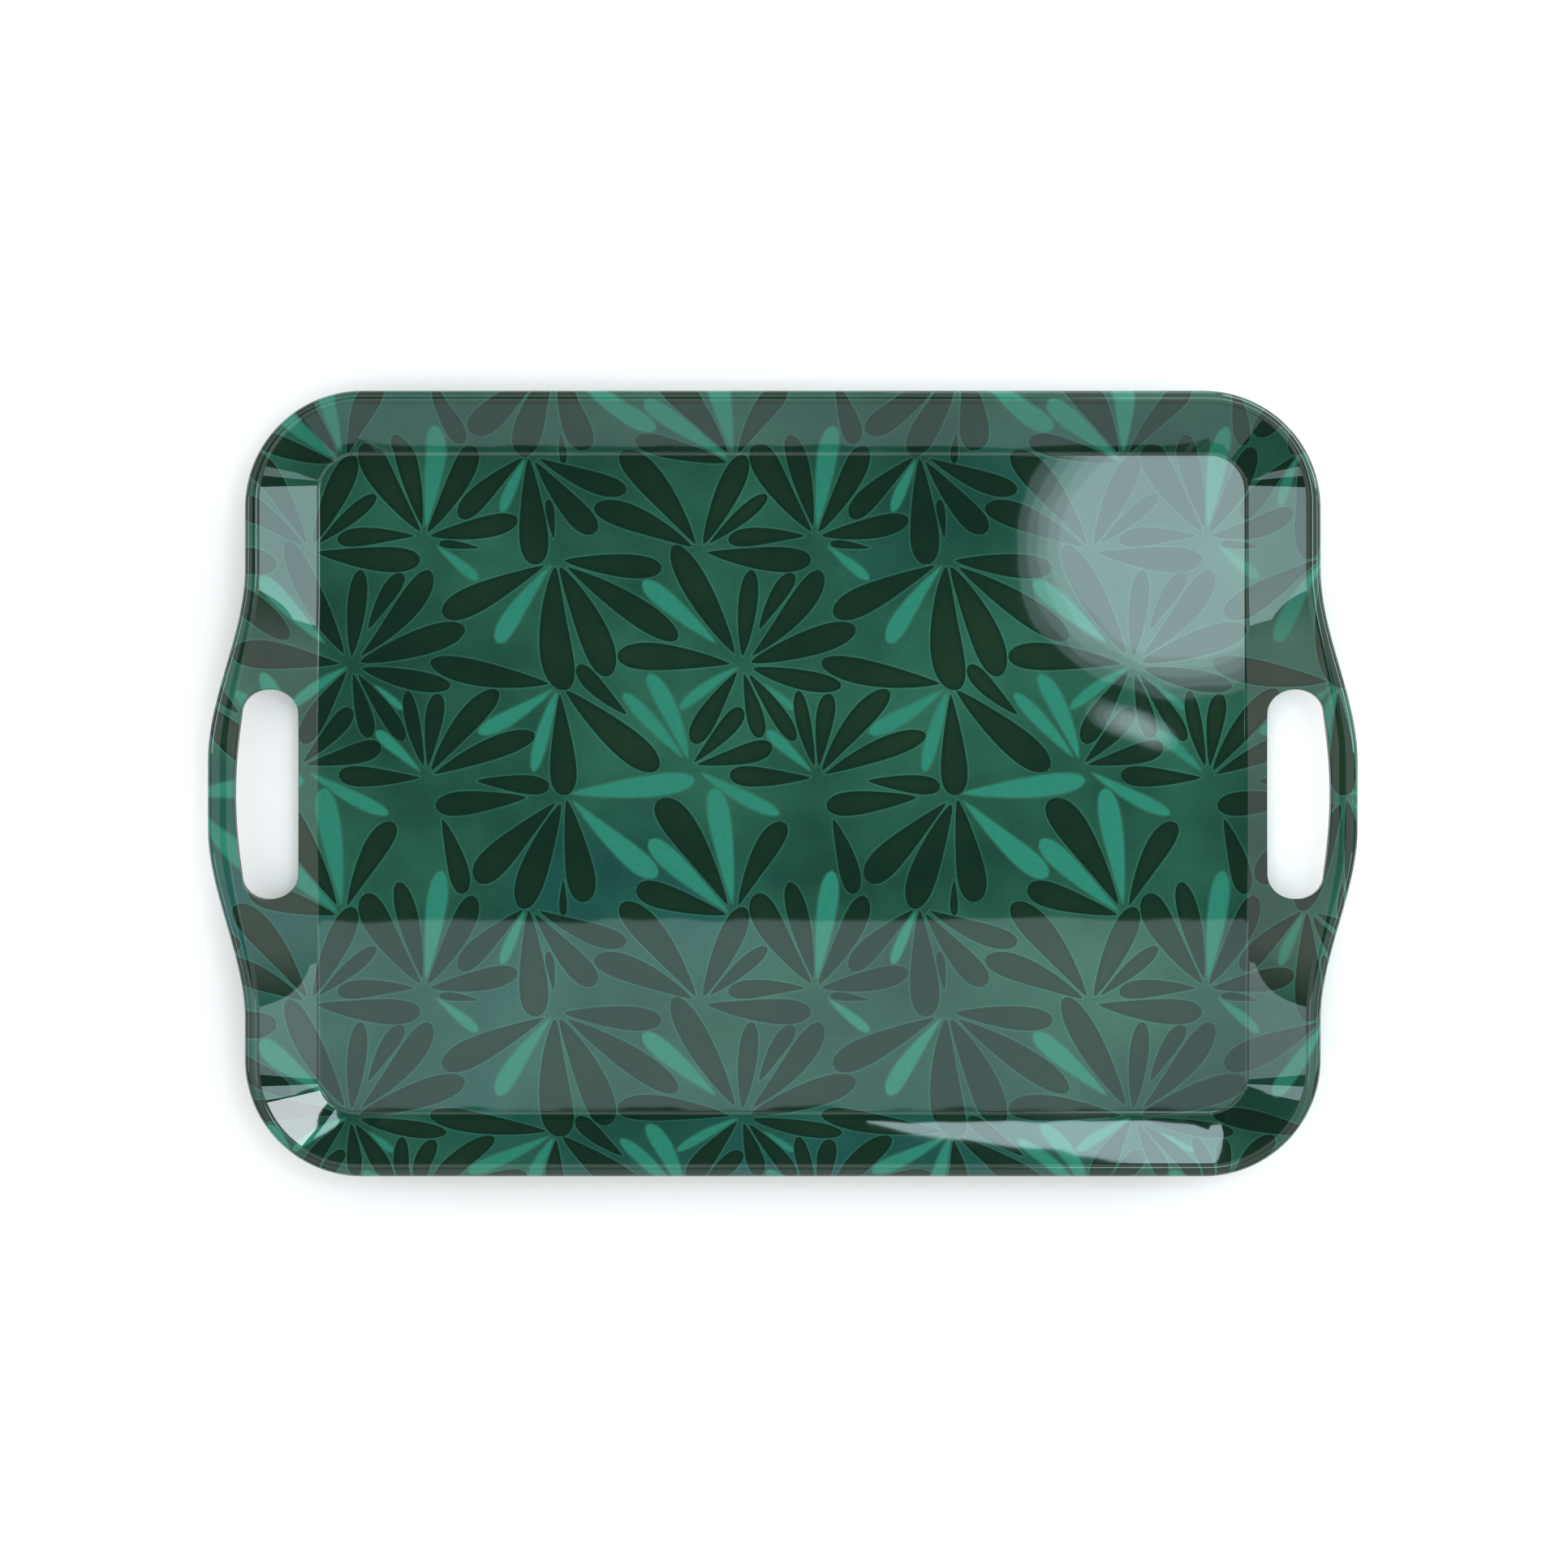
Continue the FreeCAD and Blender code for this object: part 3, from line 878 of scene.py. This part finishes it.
def print_material():
    """Leaf print on foil, under a clear glaze."""
    material = bpy.data.materials.new("leaf_print")
    material.use_nodes = True
    nodes = Nodes(material.node_tree)
    spot = nodes.add("ShaderNodeAttribute", attribute_name=SHEET, output=1)
    dark, bright = nearest_leaves(nodes, spot, Spray(LEAF_SEED).leaves)

    # The ground, with drifts of light and blue, and a halo round every leaf
    clouds = nodes.ramp(nodes.noise(spot, CLOUD_SCALE, 3.0, 0.6), *CLOUD_RANGE)
    elsewhere = nodes.vector("ADD", spot, (3.0, 1.0, 0.0))
    cool = nodes.ramp(nodes.noise(elsewhere, COOL_SCALE, 2.0), *COOL_RANGE)
    grain = nodes.noise(spot, GRAIN_SCALE, 3.0, 0.65)
    colour = nodes.mix(clouds, GROUND_DEEP, GROUND_LIT)
    colour = nodes.mix(nodes.math("MULTIPLY", cool, COOL_SHARE), colour, GROUND_BLUE)
    halo = nodes.ramp(nodes.math("MINIMUM", dark, bright), HALO_WIDTH, HALO_WIDTH - EDGE_SOFTNESS)
    colour = nodes.mix(nodes.math("MULTIPLY", halo, HALO_SHARE), colour, HALO)

    # The leaves
    warm = nodes.math("MULTIPLY", nodes.ramp(dark, WARM_FROM, WARM_TO), clouds)
    leaf = nodes.mix(warm, DARK_LEAF, DARK_LEAF_WARM)
    colour = nodes.mix(nodes.ramp(dark, EDGE_SOFTNESS / 2, -EDGE_SOFTNESS / 2), colour, leaf)
    inner = nodes.mix(nodes.ramp(bright, 0.0, BRIGHT_EDGE), BRIGHT_LEAF_EDGE, BRIGHT_LEAF)
    leaf = nodes.mix(nodes.math("MULTIPLY", clouds, BRIGHT_CLOUDS), inner, GROUND_LIT)
    colour = nodes.mix(nodes.ramp(bright, EDGE_SOFTNESS / 2, -EDGE_SOFTNESS / 2), colour, leaf)
    dimming = nodes.math("MULTIPLY_ADD", clouds, CLOUD_DEPTH, DIMMEST)
    speckle = nodes.math("MULTIPLY_ADD", grain, GRAIN_DEPTH, dimming)
    colour = nodes.vector("SCALE", colour, None, None, speckle)

    # The glaze isn't quite flat
    place = nodes.add("ShaderNodeTexCoord", output=3)
    swirl = nodes.noise(place, SWIRL_SCALE, 2.0)
    flow = nodes.noise(place, FLOW_SCALE, 1.0)
    nodes.shader({
        "Base Color": colour,
        "Roughness": nodes.math("MULTIPLY_ADD", swirl, *PRINT_ROUGHNESS),
        "Specular IOR Level": 0.0,
        "Normal": nodes.bump(swirl, 0.05, 0.2 * MM),
        "Coat Weight": 1.0,
        "Coat Roughness": 0.025,
        "Coat IOR": 1.5,
        "Coat Normal": nodes.bump(flow, 0.06, 1.0 * MM),
    })
    return material


def body_material():
    """Dark moulded melamine, matt from the tool, scuffed where it stands."""
    material = bpy.data.materials.new("dark_melamine")
    material.use_nodes = True
    nodes = Nodes(material.node_tree)
    place = nodes.add("ShaderNodeTexCoord", output=3)
    height = nodes.add("ShaderNodeSeparateXYZ", place, output=2)
    clouds = nodes.noise(place, MOULD_CLOUD_SCALE, 4.0, 0.6)
    grain = nodes.noise(place, MOULD_GRAIN_SCALE, 3.0, 0.6)
    squeezed = nodes.vector("MULTIPLY", place, SCUFF_SQUEEZE)
    scuffs = nodes.ramp(nodes.noise(squeezed, SCUFF_SCALE, 3.0, 0.7), *SCUFF_RANGE)
    worn = nodes.math("MULTIPLY", nodes.ramp(height, *WEAR_HEIGHT), scuffs)
    colour = nodes.mix(clouds, MELAMINE_DARK, MELAMINE_LIT)
    colour = nodes.mix(nodes.math("MULTIPLY", worn, SCUFF_COLOUR), colour, MELAMINE_WORN)
    moulded = nodes.math("MULTIPLY_ADD", clouds, *MOULD_ROUGHNESS)
    nodes.shader({
        "Base Color": colour,
        "Roughness": nodes.math("ADD", moulded, nodes.math("MULTIPLY", worn, SCUFF_ROUGHNESS)),
        "Specular IOR Level": 0.5,
        "Normal": nodes.bump(grain, 0.12, 0.15 * MM),
    })
    return material


skin = print_skin()
skin.data.materials.append(print_material())
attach(skin, "root")
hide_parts("printed_foil", "glaze_coat")

body = body_moulding()
body.data.materials.append(body_material())
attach(body, "root")
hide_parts("moulded_body")


# ---------------------------------------------------------------- floor, light and camera

CAMERA_PLACE = (0.0005, -0.0002, 1.003)
CAMERA_LENS = 54.0
SENSOR = 36.0
STAGE_SIZE = 12.0
STAGE_HEIGHT = -0.1 * MM
PAPER_DIM = (0.93, 0.93, 0.93, 1.0)
PAPER_LIT = (0.95, 0.95, 0.95, 1.0)
WHITE = (1.0, 1.0, 1.0, 1.0)
BAND_FOOT = (0.26, 0.40)  # heights on a unit sphere where the world's band starts and is full
BAND_TOP = (0.972, 0.94)
BAND_GLOW = 1.16
BASE_GLOW = 0.11
CARD_TINT = (0.72, 0.96, 1.0)
CORNER_TINT = (0.92, 0.97, 1.0)
SPOT_STEPS = 5
SPOT_LIFT = 3 * MM
CARD_REACH = 1.0  # how far out the cards at the ends and the back stand
CARD_RISE = 0.34


def stage_floor():
    """Pale paper that the tray stands on, a hair below its sole."""
    mesh = bpy.data.meshes.new("stage_floor")
    half = STAGE_SIZE / 2
    around = ((-half, -half), (half, -half), (half, half), (-half, half))
    corners = [(x, y, STAGE_HEIGHT) for x, y in around]
    mesh.from_pydata(corners, [], [(0, 1, 2, 3)])
    floor = bpy.data.objects.new("stage_floor", mesh)
    bpy.context.scene.collection.objects.link(floor)
    material = bpy.data.materials.new("stage_paper")
    material.use_nodes = True
    nodes = Nodes(material.node_tree)
    place = nodes.add("ShaderNodeTexCoord", output=3)
    tone = nodes.mix(nodes.noise(place, 2.0), PAPER_DIM, PAPER_LIT)
    nodes.shader({"Base Color": tone, "Roughness": 0.9, "Specular IOR Level": 0.0})
    mesh.materials.append(material)


def world_light():
    """Soft surround: dim overhead, bright half way up, dim low down, and white where it is seen."""
    world = bpy.data.worlds.new("studio")
    bpy.context.scene.world = world
    world.use_nodes = True
    nodes = Nodes(world.node_tree)
    way = nodes.add("ShaderNodeTexCoord", output=0)
    rise = nodes.add("ShaderNodeSeparateXYZ", way, output=2)
    low = nodes.ramp(rise, *BAND_FOOT)
    high = nodes.ramp(rise, *BAND_TOP)
    glow = nodes.math("MULTIPLY_ADD", nodes.math("MULTIPLY", low, high), BAND_GLOW, BASE_GLOW)
    seen = nodes.add("ShaderNodeLightPath", output=0)
    strength = nodes.math("MAXIMUM", glow, seen)
    shine = nodes.add("ShaderNodeBackground", WHITE, strength)
    nodes.add("ShaderNodeOutputWorld", shine)


def card(name, centre, size, radiance, target, shape="RECTANGLE", roll=0.0, tint=CARD_TINT):
    """Glowing panel that the camera doesn't see, with an even radiance."""
    light = bpy.data.lights.new(name, "AREA")
    light.shape = shape
    light.size, light.size_y = size
    area = size[0] * size[1] * (math.pi / 4 if shape == "ELLIPSE" else 1.0)
    light.energy = math.pi * area * radiance
    light.color = tint
    panel = bpy.data.objects.new(name, light)
    bpy.context.scene.collection.objects.link(panel)
    panel.location = centre
    facing = Vector(target) - Vector(centre)
    panel.rotation_mode = "QUATERNION"
    panel.rotation_quaternion = facing.to_track_quat("-Z", "Y") @ Quaternion((0, 0, 1), roll)
    panel.visible_camera = False


def studio():
    """The cards, each with its place, its size and its radiance."""
    def overhead(name, x, y, size, radiance, shape="RECTANGLE", roll=0.0, lift=0.0):
        card(name, (x, y, CAMERA_PLACE[2] + lift), size, radiance, (x, y, 0.0), shape, roll)

    def soft_spot(name, x, y, size, radiance, softness, roll=0.0):
        """Round card with a soft edge: ellipses of growing size, one above the other."""
        for step in range(SPOT_STEPS):
            growth = 1.0 + softness * (2 * step / (SPOT_STEPS - 1) - 1)
            oval = (size[0] * growth, size[1] * growth)
            share = radiance / SPOT_STEPS
            overhead(f"{name}_{step}", x, y, oval, share, "ELLIPSE", roll, step * SPOT_LIFT)

    def upright(name, x, y, z, size, radiance, roll=0.0):
        """Card that faces straight across the tray, along X or Y."""
        target = (x, 0.0, z) if abs(y) >= CARD_REACH else (0.0, y, z)
        card(name, (x, y, z), size, radiance, target, roll=roll)

    overhead("band_card", 0.0, -0.196, (1.1, 0.16), 1.85)
    soft_spot("window_card", 0.342, 0.202, (0.25, 0.225), 7.9, 0.15)
    soft_spot("glint_card", 0.300, 0.050, (0.060, 0.022), 7.0, 0.4, -0.4)
    upright("front_card", 0.0, -1.2, 0.16, (1.1, 0.3), 1.3)
    for side, sign, radiance in (("right", 1, 5.6), ("left", -1, 4.8)):
        upright(f"{side}_card", sign * CARD_REACH, 0.162, CARD_RISE, (0.227, 0.2), radiance)
        upright(f"{side}_low_card", sign * CARD_REACH, -0.2, CARD_RISE, (0.15, 0.2), 3.0)
    upright("back_card", 0.24, CARD_REACH, 0.03, (0.31, 0.14), 7.5, roll=-0.15)
    card("corner_card", (0.72, 0.64, 0.2), (0.85, 0.16), 13.5, (-0.2, -0.13, 0.02), tint=CORNER_TINT)


def camera():
    """Camera that looks straight down on the tray."""
    lens = bpy.data.cameras.new("camera")
    lens.lens = CAMERA_LENS
    lens.sensor_width = SENSOR
    eye = bpy.data.objects.new("camera", lens)
    bpy.context.scene.collection.objects.link(eye)
    eye.location = CAMERA_PLACE
    bpy.context.scene.camera = eye


stage_floor()
world_light()
studio()
camera()
bpy.context.scene.view_settings.view_transform = "Standard"
